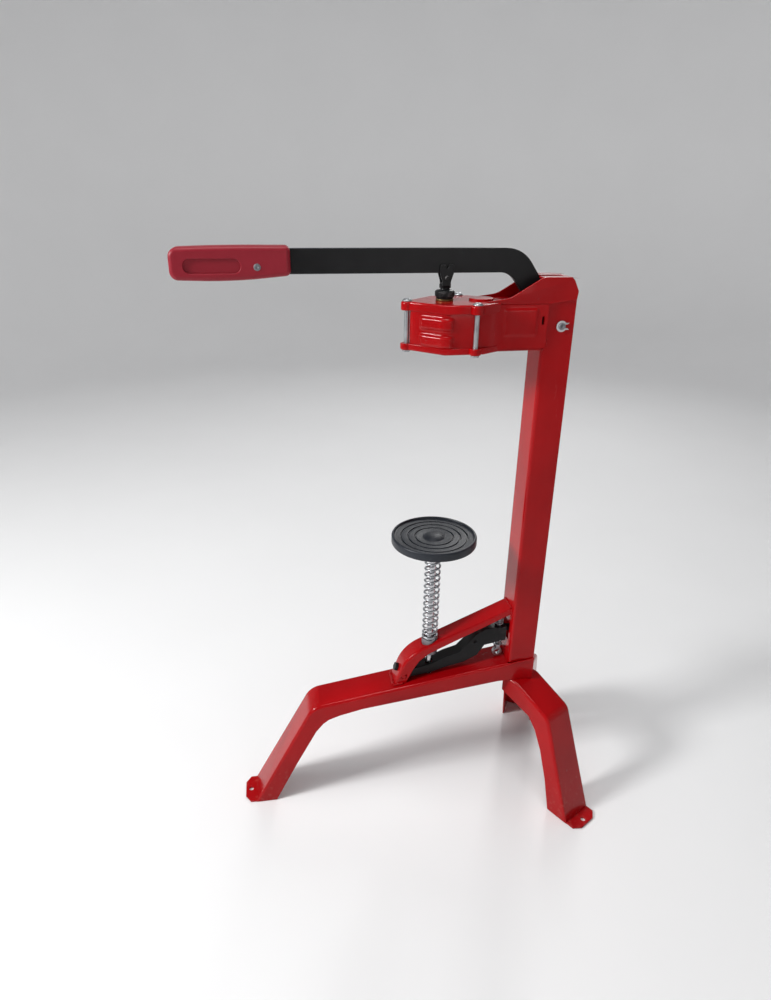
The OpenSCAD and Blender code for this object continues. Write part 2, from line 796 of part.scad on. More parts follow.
column();
front_leg();
rear_leg_near();
rear_leg_far();
arch_bracket();
guide_bush();
stop_bolt();
draw_bolt();
lock_pin();
head_wall();
head_cover();
head_floor();
tie_bolts();
tie_nuts();
mouth_ring();
jaw_cage();
plunger_bush();
pivot_pin();
pivot_clips();
pivot_spacers();
hand_lever();
toe_pin();
lever_grip();
grip_rivet();
plunger_rod();
depth_collar();
plunger_fork();
fork_roller();
fork_pin();
jaw_front();
jaw_near();
jaw_far();
jaw_rear();
jaw_pusher();
bottle_plate();
platform_rod();
stop_ring();
platform_spring();
lock_lever();
tail_pin();
pull_rod();
lock_spring();
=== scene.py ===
import json
import math
import random

import bmesh
import bpy
from mathutils import Matrix, Vector


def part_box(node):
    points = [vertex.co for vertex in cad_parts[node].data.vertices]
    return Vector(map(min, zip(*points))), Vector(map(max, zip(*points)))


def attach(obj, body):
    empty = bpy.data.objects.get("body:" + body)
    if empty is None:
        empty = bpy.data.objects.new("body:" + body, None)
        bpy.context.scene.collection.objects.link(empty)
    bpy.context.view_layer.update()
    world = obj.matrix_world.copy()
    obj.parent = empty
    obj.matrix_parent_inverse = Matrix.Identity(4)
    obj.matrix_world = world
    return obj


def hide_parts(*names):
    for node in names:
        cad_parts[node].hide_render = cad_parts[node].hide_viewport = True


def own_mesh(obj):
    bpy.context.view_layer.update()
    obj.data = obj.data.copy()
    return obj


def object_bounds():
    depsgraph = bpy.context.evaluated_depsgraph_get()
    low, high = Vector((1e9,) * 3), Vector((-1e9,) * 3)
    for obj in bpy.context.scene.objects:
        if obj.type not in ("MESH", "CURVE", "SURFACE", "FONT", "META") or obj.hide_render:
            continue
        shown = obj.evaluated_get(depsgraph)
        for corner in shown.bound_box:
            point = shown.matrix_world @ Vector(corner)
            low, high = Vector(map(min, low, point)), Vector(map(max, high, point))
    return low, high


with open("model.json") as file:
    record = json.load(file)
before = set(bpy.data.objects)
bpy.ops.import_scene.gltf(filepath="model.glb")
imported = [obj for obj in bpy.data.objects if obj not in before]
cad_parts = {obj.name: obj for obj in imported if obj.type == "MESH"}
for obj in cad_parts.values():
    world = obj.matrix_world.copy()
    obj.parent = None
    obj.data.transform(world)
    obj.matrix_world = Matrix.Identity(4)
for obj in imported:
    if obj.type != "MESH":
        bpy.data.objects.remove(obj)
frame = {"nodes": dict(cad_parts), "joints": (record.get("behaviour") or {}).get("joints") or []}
cad_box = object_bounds()


# ---------------------------------------------------------------- column
# The column is a channel of 2.5 mm sheet, folded along its two front corners and open at
# the back. Every red part of the machine is dipped in the same thick gloss enamel.

class Wire:
    """One socket of a material. Arithmetic on it adds Math nodes to the tree."""

    def __init__(self, tree, socket=None):
        self.tree, self.socket = tree, socket

    def add(self, kind, inputs=(), out=0, stops=(), **settings):
        node = self.tree.nodes.new("ShaderNode" + kind)
        for key, value in settings.items():
            setattr(node, key, value)
        for i, (place, shade) in enumerate(stops):
            ramp = node.color_ramp.elements
            stop = ramp[i] if i < 2 else ramp.new(place)
            stop.position, stop.color = place, (*shade, 1)
        for key, value in dict(inputs).items():
            if isinstance(value, Wire):
                self.tree.links.new(value.socket, node.inputs[key])
            else:
                node.inputs[key].default_value = value
        return Wire(self.tree, node.outputs[out])

    def math(self, operation, a, b=0.0):
        return self.add("Math", {0: a, 1: b}, operation=operation)

    def mix(self, share, a, b):
        a, b = ((*c, 1) if isinstance(c, tuple) else c for c in (a, b))
        return self.add("Mix", {0: share, 6: a, 7: b}, out=2, data_type="RGBA")

    def rise(self, low, high):
        return self.add("MapRange", {0: self, 1: low, 2: high}, interpolation_type="SMOOTHSTEP")

    def __add__(self, other):
        return self.math("ADD", self, other)

    def __sub__(self, other):
        return self.math("SUBTRACT", self, other)

    def __rsub__(self, other):
        return self.math("SUBTRACT", other, self)

    def __mul__(self, other):
        return self.math("MULTIPLY", self, other)

    def __truediv__(self, other):
        return self.math("DIVIDE", self, other)

    def __rtruediv__(self, other):
        return self.math("DIVIDE", other, self)

    __radd__, __rmul__ = __add__, __mul__


def new_finish(name, **fixed):
    """A material with its Principled shader, and the wire that its patterns start from."""
    material = bpy.data.materials.new(name)
    material.use_nodes = True
    shader = material.node_tree.nodes["Principled BSDF"]
    for key, value in fixed.items():
        shader.inputs[key.replace("_", " ")].default_value = value
    wire = Wire(material.node_tree)
    wire.place = wire.add("TexCoord", out=3)
    return material, shader, wire


def grain(wire, scale, detail=3.0, stretch=None, roughness=0.5):
    """Noise of about 1/scale metres, drawn out along an axis if it is stretched."""
    place = wire.place
    if stretch:
        place = wire.add("Mapping", {"Vector": place, "Scale": stretch})
    return wire.add("TexNoise", {"Vector": place, "Scale": scale, "Detail": detail,
                                 "Roughness": roughness})


def feed(shader, wire, **sockets):
    for key, value in sockets.items():
        wire.tree.links.new(value.socket, shader.inputs[key.replace("_", " ")])


def bumps(wire, *layers):
    """Bump layers one over another, each a height, a depth in metres and a strength."""
    normal = None
    for height, depth, strength in layers:
        sockets = {"Height": height, "Distance": depth, "Strength": strength}
        if normal:
            sockets["Normal"] = normal
        normal = wire.add("Bump", sockets)
    return normal


def red_enamel():
    material, shader, wire = new_finish("red enamel", Coat_Roughness=0.03, Coat_IOR=1.38,
                                        Specular_IOR_Level=0.12)
    ridge = wire.add("NewGeometry", out=7)
    cloud = grain(wire, 9, 4)
    scuff = grain(wire, 60, 6, (1, 1, 0.25), 0.65)
    worn = ridge.rise(0.56, 0.66) * scuff.rise(0.60, 0.70) * 0.7
    height = wire.add("SeparateXYZ", {0: wire.place}, out=2)
    dust = (1 - height.rise(0.0, 0.10)) * grain(wire, 120, 5).rise(0.5, 0.75) * 0.25
    shade = wire.mix(cloud.rise(0.3, 0.7), (0.30, 0.0008, 0.0022), (0.40, 0.0018, 0.0038))
    shade = wire.mix(ridge.rise(0.5, 0.6) * 0.35, shade, (0.20, 0.0010, 0.0028))
    shade = wire.mix(worn, shade, (0.07, 0.02, 0.02))
    shade = wire.mix(dust, shade, (0.42, 0.12, 0.10))
    rough = 0.16 + cloud * 0.08 + scuff.rise(0.55, 0.8) * 0.12 + worn * 0.3 + dust * 0.35
    skin = bumps(wire, (grain(wire, 26, 2), 0.0035, 0.16), (grain(wire, 330, 2), 0.0004, 0.14),
                 (grain(wire, 1500, 1).rise(0.68, 0.78), 0.0002, 0.35))
    feed(shader, wire, Base_Color=shade, Roughness=rough, Normal=skin,
         Coat_Weight=0.26 - worn * 0.25 - dust * 0.2)
    return material


def cad_copy(node):
    """The node's shape with its triangles joined into whole faces, to be rounded off."""
    bm = bmesh.new()
    bm.from_mesh(frame["nodes"][node].data)
    bmesh.ops.remove_doubles(bm, verts=bm.verts, dist=2e-5)
    bmesh.ops.dissolve_limit(bm, angle_limit=math.radians(0.6), verts=bm.verts, edges=bm.edges)
    return bm


def ease(bm, radius, where=None, segments=3, least=32):
    """Rounds the sharp edges that where(middle, span, normals of both faces) picks."""
    chosen = []
    for e in bm.edges:
        if len(e.link_faces) != 2 or e.calc_length() < 1e-5:
            continue
        turn = e.calc_face_angle_signed(0)
        if turn < math.radians(least):
            continue
        middle = (e.verts[0].co + e.verts[1].co) / 2
        span = e.verts[1].co - e.verts[0].co
        if where is None or where(middle, span, [f.normal for f in e.link_faces]):
            chosen.append(e)
    if chosen:
        bmesh.ops.bevel(bm, geom=chosen, offset=radius, offset_type="OFFSET", segments=segments,
                        profile=0.5, affect="EDGES", clamp_overlap=False, material=-1)
    return bm


def piece(name, bm, finish, body, slot, *stands_for, crease=36):
    mesh = bpy.data.meshes.new(name)
    bm.normal_update()
    bm.to_mesh(mesh)
    bm.free()
    mesh.polygons.foreach_set("use_smooth", [True] * len(mesh.polygons))
    mesh.set_sharp_from_angle(angle=math.radians(crease))
    mesh.materials.append(finish)
    made = bpy.data.objects.new(name, mesh)
    bpy.context.scene.collection.objects.link(made)
    even = made.modifiers.new("flat faces stay flat", "WEIGHTED_NORMAL")
    even.keep_sharp = True
    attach(made, body)
    if stands_for:
        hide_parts(*stands_for)
    return made


enamel = red_enamel()
column_lo, column_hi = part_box("column")
floor_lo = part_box("head_floor")[0]
plate_lo, plate_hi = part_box("bottle_plate")
axis_x = (plate_lo.x + plate_hi.x) / 2

column = cad_copy("column")
bmesh.ops.bisect_plane(column, geom=[*column.verts, *column.edges, *column.faces],
                       plane_co=(0, 0, floor_lo.z + 0.001), plane_no=(0, 0, 1))
ease(column, 0.0046, lambda m, d, n: abs(d.z) > 0.05 and m.x < column_lo.x + 1e-4
     and abs(m.y) > column_hi.y - 1e-4 and m.z < floor_lo.z, segments=5)
ease(column, 0.0007, segments=2, least=50)
piece("column_channel", column, enamel, "frame", "red_enamel", "column")


# ---------------------------------------------------------------- front leg
# The front leg is one pressed channel, straddling the column at the back and bent down to a
# flat toe with a screw hole. Its two long folds are generous, about 5 mm outside.

leg_lo, leg_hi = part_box("front_leg")
front_leg = cad_copy("front_leg")
bmesh.ops.bisect_plane(front_leg, geom=[*front_leg.verts, *front_leg.edges, *front_leg.faces],
                       plane_co=(column_lo.x - 0.0008, 0, 0), plane_no=(1, 0, 0))


def outer_fold(lo, hi, limit):
    """Edges along the two long outer folds of a channel leg, short of x = limit."""
    def found(m, d, n):
        side = any(abs(k.y) > 0.97 for k in n)
        top = any(abs(k.y) < 0.2 and (k.z > 0.1 or k.x < -0.5) for k in n)
        return side and top and abs(m.y) > hi.y - 2e-4 and m.x < limit and m.z > lo.z + 0.002
    return found


ease(front_leg, 0.0048, outer_fold(leg_lo, leg_hi, column_lo.x - 0.0008), segments=5, least=60)
ease(front_leg, 0.0006, segments=2, least=50)
piece("front_leg_channel", front_leg, enamel, "frame", "red_enamel", "front_leg")


# ---------------------------------------------------------------- rear legs
# The two rear legs are the same pressing, shorter, welded to the front leg's flanges at the
# foot of the column and splayed to either side.

leg_splay = math.radians(60)
for side_name, hand in (("near", -1), ("far", 1)):
    name = f"rear_leg_{side_name}"
    lo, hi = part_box(name)
    lie = Vector((math.cos(leg_splay), hand * math.sin(leg_splay), 0))
    across = Vector((-lie.y, lie.x, 0))
    rear_leg = cad_copy(name)
    ease(rear_leg, 0.0048, lambda m, d, n: any(abs(k.dot(across)) > 0.97 for k in n)
         and any(abs(k.dot(across)) < 0.2 and (k.z > 0.1 or k.dot(lie) > 0.5) for k in n)
         and m.z > lo.z + 0.004, segments=5, least=60)
    ease(rear_leg, 0.0006, segments=2, least=50)
    piece(f"{name}_channel", rear_leg, enamel, "frame", "red_enamel", name)


# ---------------------------------------------------------------- arch bracket
# A narrower channel is welded from the column to the top of the front leg. It arches over
# the lock lever, and the platform spring stands in its crown.

arch_lo, arch_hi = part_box("arch_bracket")
arch = cad_copy("arch_bracket")
ease(arch, 0.0042, lambda m, d, n: any(abs(k.y) > 0.97 for k in n)
     and any(abs(k.y) < 0.2 and (k.z > 0.1 or k.x < -0.5) for k in n)
     and abs(m.y) > arch_hi.y - 2e-4 and m.x < arch_hi.x - 1e-4, segments=5, least=60)
ease(arch, 0.0006, segments=2, least=50)
piece("arch_bracket_channel", arch, enamel, "frame", "red_enamel", "arch_bracket")


# ---------------------------------------------------------------- welds
# The pressings are joined by short hand-laid beads, under the same enamel: at the bracket's
# foot and top, along the column's foot, and where the rear legs meet the front one.

def weld_bead(bm, start, end, width, seed):
    """Overlapping drops of weld metal from start to end."""
    chance = random.Random(seed)
    start, run = Vector(start), Vector(end) - Vector(start)
    drops = max(2, round(run.length / 0.0013))
    turn = run.to_track_quat("X", "Z").to_matrix().to_4x4()
    for i in range(drops + 1):
        w = width / 2 * chance.uniform(0.82, 1.1)
        wander = Vector([chance.uniform(-1, 1) * width * 0.05 for _ in range(3)])
        spot = Matrix.Translation(start + run * i / drops + wander)
        bmesh.ops.create_icosphere(bm, subdivisions=2, radius=1.0,
                                   matrix=spot @ turn @ Matrix.Diagonal((0.0019, w, w * 0.75, 1)))


leg_top = leg_hi.z
foot_z = arch_lo.z + 0.0012
welds = bmesh.new()
beads = [((arch_lo.x - 0.0003, -0.013, foot_z), (arch_lo.x - 0.0003, 0.013, foot_z), 0.0062)]
for s in (-1, 1):
    y = s * arch_hi.y
    beads += [
        ((arch_lo.x + 0.001, y, foot_z + 0.0004), (arch_lo.x + 0.013, y, foot_z + 0.0022), 0.005),
        ((column_lo.x - 0.0004, y, arch_hi.z - 0.0145),
         (column_lo.x - 0.0004, y, arch_hi.z - 0.003), 0.0042),
        ((column_lo.x - 0.0006, s * 0.0185, leg_top - 0.0085),
         (column_lo.x - 0.0006, s * 0.006, leg_top - 0.0085), 0.005),
        ((column_lo.x + 0.003, s * 0.0262, leg_top + 0.0003 - 0.006),
         (column_lo.x + 0.024, s * 0.0262, leg_top - 0.0026), 0.0034),
        ((column_lo.x + 0.002, s * 0.0248, floor_lo.z + 0.0004),
         (column_lo.x + 0.0045, s * 0.0248, floor_lo.z + 0.011), 0.0036),
    ]
beads.append(((column_lo.x - 0.0003, -0.013, arch_hi.z - 0.0004),
              (column_lo.x - 0.0003, 0.013, arch_hi.z - 0.0004), 0.0042))
beads.append(((column_lo.x - 0.0006, -0.017, floor_lo.z - 0.0003),
              (column_lo.x - 0.0006, 0.017, floor_lo.z - 0.0003), 0.005))
for k, (start, end, width) in enumerate(beads):
    weld_bead(welds, start, end, width, 40 + k)
piece("weld_beads", welds, enamel, "frame", "red_enamel", crease=80)


# ---------------------------------------------------------------- head shell
# The head is a deep pressed band with two ribs on each front facet and a raised panel on
# each cheek, closed by a cover and a floor with rolled rims. Corner eyes take the tie bolts.

cover_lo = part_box("head_cover")[0]
wall_lo, wall_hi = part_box("head_wall")
facet_end = Vector((axis_x - 0.0071, wall_hi.y))
nose = [(wall_lo.x, 0.0070), (facet_end.x, facet_end.y), (axis_x + 0.040, facet_end.y),
        (axis_x + 0.063, column_hi.y + 0.0025), (column_lo.x + 0.004, column_hi.y + 0.0025)]
band = bmesh.new()
line = [band.verts.new((x, -y, wall_lo.z)) for x, y in reversed(nose)]
line += [band.verts.new((x, y, wall_lo.z)) for x, y in nose]
for pair in zip(line, line[1:]):
    band.edges.new(pair)
for radius, corners in ((0.0055, line[3:4] + line[6:7]), (0.004, line[4:6]),
                        (0.012, line[1:3] + line[7:9])):
    bmesh.ops.bevel(band, geom=corners, offset=radius, offset_type="OFFSET", segments=8,
                    profile=0.5, affect="VERTICES", clamp_overlap=False, material=-1)
for _ in range(7):
    bmesh.ops.subdivide_edges(band, edges=[e for e in band.edges if e.calc_length() > 0.0016],
                              cuts=1)
rows = 44
rise = (wall_hi.z - wall_lo.z) / rows
front = band.edges[:]
for _ in range(rows):
    front = [e for e in bmesh.ops.extrude_edge_only(band, edges=front)["geom"]
             if isinstance(e, bmesh.types.BMEdge)]
    bmesh.ops.translate(band, verts=list({v for e in front for v in e.verts}), vec=(0, 0, rise))


def ramp(value, low, high):
    t = max(0.0, min(1.0, (value - low) / (high - low)))
    return t * t * (3 - 2 * t)


bmesh.ops.recalc_face_normals(band, faces=band.faces)
if sum(f.normal.dot(Vector((f.calc_center_median().x - axis_x - 0.03, f.calc_center_median().y, 0)))
       for f in band.faces) < 0:
    bmesh.ops.reverse_faces(band, faces=band.faces[:])
band.normal_update()
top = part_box("plunger_bush")[0].z + 0.0025
for v in band.verts:
    off = Vector((v.co.x, abs(v.co.y))) - facet_end
    past = off.length if v.co.x > facet_end.x else -off.length
    down = top - v.co.z
    reach = ramp(past, -0.0365, -0.0315) * (1 - ramp(past, 0.0050, 0.0105))
    ribs = sum(ramp(down, c - 0.0085, c - 0.0045) * (1 - ramp(down, c + 0.0045, c + 0.0085))
               for c in (0.0225, 0.0430))
    side = v.co.x - axis_x
    panel = ramp(side, 0.066, 0.070) * (1 - ramp(side, 0.108, 0.112))
    panel *= ramp(down, 0.006, 0.0095) * (1 - ramp(down, 0.0375, 0.0415))
    off_cheek = 1 - ramp(side, 0.03, 0.06)
    swell = 0.0009 + 0.0006 * math.sin(math.pi * min(1, down / 0.058)) * off_cheek
    v.co += v.normal * (0.0027 * reach * ribs + 0.0014 * panel + swell)
slots = [f for f in band.faces if abs(f.calc_center_median().x - column_lo.x + 0.002) < 0.0018
         and 0.0165 < top - f.calc_center_median().z < 0.0265]
bmesh.ops.delete(band, geom=slots, context="FACES")
bmesh.ops.solidify(band, geom=band.faces[:], thickness=0.0023)
piece("head_band_pressed", band, enamel, "frame", "red_enamel", "head_wall", crease=50)

tie_lo, tie_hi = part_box("tie_bolts")
tie_r = 0.003
nuts_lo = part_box("tie_nuts")[0]
tie_y = tie_hi.y - 0.006
nose_x = tie_lo.x + 0.006
cheek_x = tie_hi.x - 0.006
eyes = [Vector((nose_x, 0, 0)), Vector((cheek_x, -tie_y, 0)), Vector((cheek_x, tie_y, 0))]
cover = cad_copy("head_cover")
ease(cover, 0.0024, lambda m, d, n: abs(m.z - top) < 1e-4 and m.x < axis_x + 0.06
     and Vector((m.x - axis_x, m.y)).length > 0.034 and not any(
         (Vector((m.x - e.x, m.y - e.y)).length < 0.0045) for e in eyes), segments=5, least=60)
ease(cover, 0.0008, segments=3, least=50)
piece("head_cap", cover, enamel, "frame", "red_enamel", "head_cover")

tray = cad_copy("head_floor")
ease(tray, 0.0021, lambda m, d, n: m.z < floor_lo.z + 1e-4 and m.x < axis_x + 0.08
     and Vector((m.x - axis_x, m.y)).length > 0.022, segments=4, least=60)
ease(tray, 0.0008, segments=3, least=50)
piece("head_tray", tray, enamel, "frame", "red_enamel", "head_floor")


# ---------------------------------------------------------------- tie bolts
# Three zinc-plated bolts pass outside the band, from domed heads on the cover's eyes to
# nuts under the floor's. Each head has a small pressed centre, and a stub of thread shows.

def plated(name, dark, bright, gloss, stretch, streaks, metal=1.0, wear=0.35):
    """Metal with drawn or turned streaks, cloudy plating and rubbed high spots."""
    material, shader, wire = new_finish(name, Metallic=metal)
    ridge = wire.add("NewGeometry", out=7)
    cloud, fine = grain(wire, 70, 5), grain(wire, streaks, 4, stretch, 0.7)
    stain = grain(wire, 240, 6).rise(0.58, 0.72)
    shade = wire.mix(cloud.rise(0.25, 0.75), dark, bright)
    shade = wire.mix(stain * 0.35, shade, tuple(c * 0.45 for c in dark))
    shade = wire.mix(ridge.rise(0.52, 0.6) * wear, shade, tuple(min(1, c * 1.25) for c in bright))
    rough = gloss + cloud * 0.12 + fine * 0.14 + stain * 0.18
    feed(shader, wire, Base_Color=shade, Roughness=rough,
         Normal=bumps(wire, (fine, 0.0003, 0.22), (grain(wire, 900, 2), 0.00012, 0.2)))
    return material


def turned(bm, profile, centre, axis="Z", steps=40):
    """A solid of revolution: the profile's (radius, height) points spun once round an axis."""
    verts = [bm.verts.new((r, 0, h)) for r, h in profile]
    edges = [bm.edges.new(pair) for pair in zip(verts, verts[1:])]
    made = bmesh.ops.spin(bm, geom=verts + edges, cent=(0, 0, 0), axis=(0, 0, 1), dvec=(0, 0, 0),
                          angle=math.tau, steps=steps, use_merge=True)
    faces = {f for v in verts if v.is_valid for f in v.link_faces}
    grow = list(faces)
    while grow:
        near = {g for e in grow.pop().edges for g in e.link_faces} - faces
        faces |= near
        grow += near
    turn = {"Z": Matrix(), "Y": Matrix.Rotation(-math.pi / 2, 4, "X"),
            "X": Matrix.Rotation(math.pi / 2, 4, "Y")}[axis]
    points = list({v for f in faces for v in f.verts})
    bmesh.ops.remove_doubles(bm, verts=points, dist=1e-6)
    faces = [f for f in faces if f.is_valid]
    points = list({v for f in faces for v in f.verts})
    bmesh.ops.transform(bm, matrix=Matrix.Translation(centre) @ turn, verts=points)
    bmesh.ops.recalc_face_normals(bm, faces=faces)
    return points


def wire_coil(bm, centre, radius, wire, low, leads, sides=12, steps=28):
    """Round wire wound up the Z axis; leads lists (turns, pitch) one after another."""
    ring = bmesh.ops.create_circle(bm, segments=sides, radius=wire / 2)["verts"]
    bmesh.ops.rotate(bm, verts=ring, cent=(0, 0, 0), matrix=Matrix.Rotation(math.pi / 2, 3, "X"))
    bmesh.ops.translate(bm, verts=ring, vec=(centre.x + radius, centre.y, low + wire / 2))
    end = [*ring, *{e for v in ring for e in v.link_edges}]
    first = [e for e in end if isinstance(e, bmesh.types.BMEdge)]
    for turns, pitch in leads:
        count = max(4, round(turns * steps))
        end = bmesh.ops.spin(bm, geom=end, cent=(centre.x, centre.y, 0), axis=(0, 0, 1),
                             dvec=(0, 0, turns * pitch / count), angle=math.tau * turns,
                             steps=count)["geom_last"]
    last = [e for e in end if isinstance(e, bmesh.types.BMEdge)]
    for rim in (first, last):
        bmesh.ops.contextual_create(bm, geom=rim)
    bmesh.ops.recalc_face_normals(bm, faces=bm.faces)


zinc = plated("zinc plate", (0.26, 0.27, 0.29), (0.46, 0.475, 0.49), 0.26, (1, 1, 0.08), 700)
bolts = bmesh.new()
for eye in eyes:
    top = tie_hi.z
    turned(bolts, [(0, top - 0.0015), (0.0012, top - 0.0014), (0.0016, top - 0.0003), (0.0023, top),
                   (0.0040, top - 0.0004), (0.0053, top - 0.0013), (0.006, top - 0.0023),
                   (0.006, top - 0.0027), (0.0057, top - 0.003), (tie_r, top - 0.003),
                   (tie_r, nuts_lo.z + 0.004), (tie_r - 0.0003, nuts_lo.z + 0.0035),
                   (tie_r - 0.0003, tie_lo.z + 0.0005), (tie_r - 0.0008, tie_lo.z), (0, tie_lo.z)],
           eye)
for eye in eyes:
    threads = bmesh.new()
    wire_coil(threads, eye, tie_r - 0.00035, 0.0005, tie_lo.z + 0.0003, [(3.2, 0.001)], sides=6,
              steps=18)
    carried = bpy.data.meshes.new("thread")
    threads.to_mesh(carried)
    threads.free()
    bolts.from_mesh(carried)
    bpy.data.meshes.remove(carried)
piece("tie_bolts_turned", bolts, zinc, "frame", "zinc_steel", "tie_bolts", crease=40)

nuts = ease(cad_copy("tie_nuts"), 0.0006, segments=3, least=40)
piece("tie_nuts_chamfered", nuts, zinc, "frame", "zinc_steel", "tie_nuts")


# ---------------------------------------------------------------- jaws and cage
# Inside the head four brass jaws squeeze the cork: one fixed at the nose, two sliding away
# sideways and one pushed by the lever's nose. A brass ring under the floor meets the bottle.

brass = plated("jaw brass", (0.55, 0.38, 0.13), (0.80, 0.62, 0.27), 0.22, (1, 1, 0.1), 500)
dark_steel = plated("dark steel", (0.13, 0.13, 0.14), (0.26, 0.26, 0.28), 0.34, (0.2, 1, 1), 420)
piece("mouth_ring_turned", ease(cad_copy("mouth_ring"), 0.0005, segments=2), brass, "frame",
      "jaw_brass", "mouth_ring")
for name, body in (("jaw_front", "frame"), ("jaw_near", "near_jaw"), ("jaw_far", "far_jaw"),
                   ("jaw_rear", "rear_jaw")):
    piece(f"{name}_block", ease(cad_copy(name), 0.0004, segments=2, least=60), brass, body,
          "jaw_brass", name)
piece("jaw_pusher_block", ease(cad_copy("jaw_pusher"), 0.0006, segments=2, least=60), dark_steel,
      "rear_jaw", "jaw_steel", "jaw_pusher")
piece("jaw_cage_plates", ease(cad_copy("jaw_cage"), 0.0005, segments=2, least=60), dark_steel,
      "frame", "jaw_steel", "jaw_cage")


# ---------------------------------------------------------------- plunger
# The plunger runs in a flanged bronze bush. Above it sits a black depth collar, and a forked
# end with two blunt horns that straddles the lever bar and carries a small roller.

bronze = plated("bush bronze", (0.12, 0.075, 0.03), (0.27, 0.18, 0.08), 0.36, (1, 1, 0.3), 500)
bright = plated("bright steel", (0.36, 0.36, 0.38), (0.62, 0.62, 0.64), 0.14, (1, 1, 0.03), 900)


def black_paint():
    """Thin satin black paint over steel, rubbed grey along its corners."""
    material, shader, wire = new_finish("black paint", Coat_Roughness=0.25, Specular_IOR_Level=0.14)
    ridge = wire.add("NewGeometry", out=7)
    cloud, scratch = grain(wire, 40, 5), grain(wire, 240, 6, (0.1, 1, 1), 0.7)
    bare = ridge.rise(0.53, 0.62) * grain(wire, 130, 6).rise(0.5, 0.64)
    haze = scratch.rise(0.6, 0.75)
    shade = wire.mix(cloud, (0.004, 0.004, 0.0045), (0.011, 0.011, 0.012))
    shade = wire.mix(haze * 0.25, shade, (0.035, 0.035, 0.038))
    shade = wire.mix(bare, shade, (0.24, 0.23, 0.23))
    feed(shader, wire, Base_Color=shade, Metallic=bare * 0.9, Coat_Weight=0.08 - bare * 0.08,
         Roughness=0.34 + cloud * 0.14 + haze * 0.15 - bare * 0.1,
         Normal=bumps(wire, (grain(wire, 700, 3), 0.00022, 0.3), (cloud, 0.0015, 0.12)))
    return material


black = black_paint()
piece("plunger_bush_turned", ease(cad_copy("plunger_bush"), 0.0005, segments=2), bronze, "frame",
      "bronze", "plunger_bush")
rod_lo, rod_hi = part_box("plunger_rod")
plunger = bmesh.new()
stem = 0.00475
turned(plunger, [(0, rod_lo.z), (0.0058, rod_lo.z), (0.0068, rod_lo.z + 0.001),
                 (0.0068, cover_lo.z + 0.0102), (0.0064, cover_lo.z + 0.0106),
                 (stem, cover_lo.z + 0.0106), (stem, rod_hi.z), (0, rod_hi.z)], (axis_x, 0, 0),
       steps=48)
piece("plunger_rod_turned", plunger, bright, "plunger", "bright_steel", "plunger_rod")

collar_lo, collar_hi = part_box("depth_collar")
collar = bmesh.new()
wide = (collar_hi.x - collar_lo.x) / 2
z0, z1 = collar_lo.z, collar_hi.z
turned(collar, [(stem + 0.0002, z0), (wide - 0.0019, z0), (wide - 0.0015, z0 + 0.0004),
                (wide - 0.0015, z0 + 0.0018), (wide - 0.0006, z0 + 0.0021), (wide, z0 + 0.0027),
                (wide, z1 - 0.0020), (wide - 0.0006, z1 - 0.0011), (wide - 0.0019, z1 - 0.0003),
                (wide - 0.0034, z1), (stem + 0.0014, z1 + 0.0004), (stem + 0.0008, z1 + 0.0018),
                (stem + 0.0008, z1 + 0.0044), (stem + 0.0001, z1 + 0.0046),
                (stem + 0.0001, z0)], (axis_x, 0, 0), steps=56)
piece("depth_collar_turned", collar, black, "plunger", "black_steel", "depth_collar")

fork = ease(cad_copy("plunger_fork"), 0.0009, segments=3, least=40)
piece("plunger_fork_forged", fork, black, "plunger", "black_steel", "plunger_fork")
piece("fork_roller_turned", ease(cad_copy("fork_roller"), 0.0005, segments=2), bright, "plunger",
      "zinc_steel", "fork_roller")
piece("fork_pin_riveted", ease(cad_copy("fork_pin"), 0.0003, segments=2, least=60), black,
      "plunger",
      "zinc_steel", "fork_pin")


# ---------------------------------------------------------------- pivot
# A zinc-plated pin carries the lever between the column's cheeks. A spring clip holds each
# end, its open prongs towards the back, and each pin end has a drilled centre.

pin_lo, pin_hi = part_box("pivot_pin")
pin_r = (pin_hi.x - pin_lo.x) / 2
pin_at = (pin_lo + pin_hi) / 2
pin = bmesh.new()
y, cheek, neck = pin_hi.y, column_hi.y + 0.0003, 0.0042
end = [(0, 0.0022), (0.0011, 0.0019), (0.0017, 0.0004), (0.0023, 0), (neck - 0.0005, 0),
       (neck, 0.0005), (neck, 0.0014), (neck - 0.0008, 0.0015), (neck - 0.0008, 0.0028),
       (neck, 0.0029), (neck, y - cheek), (pin_r, y - cheek)]
turned(pin, [(r, h - y) for r, h in end] + [(r, y - h) for r, h in reversed(end)], pin_at, "Y",
       steps=48)
piece("pivot_pin_turned", pin, dark_steel, "frame", "zinc_steel", "pivot_pin")

clips = bmesh.new()
for s in (-1, 1):
    start = math.radians(38)
    corners = [(r, h) for r, h in ((neck - 0.0007, 0.0016), (neck + 0.0026, 0.0016),
                                   (neck + 0.0026, 0.0027), (neck - 0.0007, 0.0027))]
    ends = [clips.verts.new((pin_at.x + r * math.cos(start), s * (y - h),
                             pin_at.z + r * math.sin(start)))
            for r, h in corners]
    first = clips.faces.new(ends)
    around = bmesh.ops.spin(clips, geom=[*ends, *first.edges, first], cent=pin_at, axis=(0, -1, 0),
                            dvec=(0, 0, 0), angle=math.radians(284), steps=40)["geom_last"]
    last = [f for f in around if isinstance(f, bmesh.types.BMFace)]
    for face in (first, *last):
        prong = bmesh.ops.extrude_face_region(clips, geom=[face])["geom"]
        bmesh.ops.translate(clips, verts=[v for v in prong if isinstance(v, bmesh.types.BMVert)],
                            vec=(0.0046, 0, 0))
        if face.is_valid:
            bmesh.ops.delete(clips, geom=[face], context="FACES_ONLY")
bmesh.ops.remove_doubles(clips, verts=clips.verts, dist=1e-6)
bmesh.ops.recalc_face_normals(clips, faces=clips.faces)
ease(clips, 0.00025, segments=2, least=50)
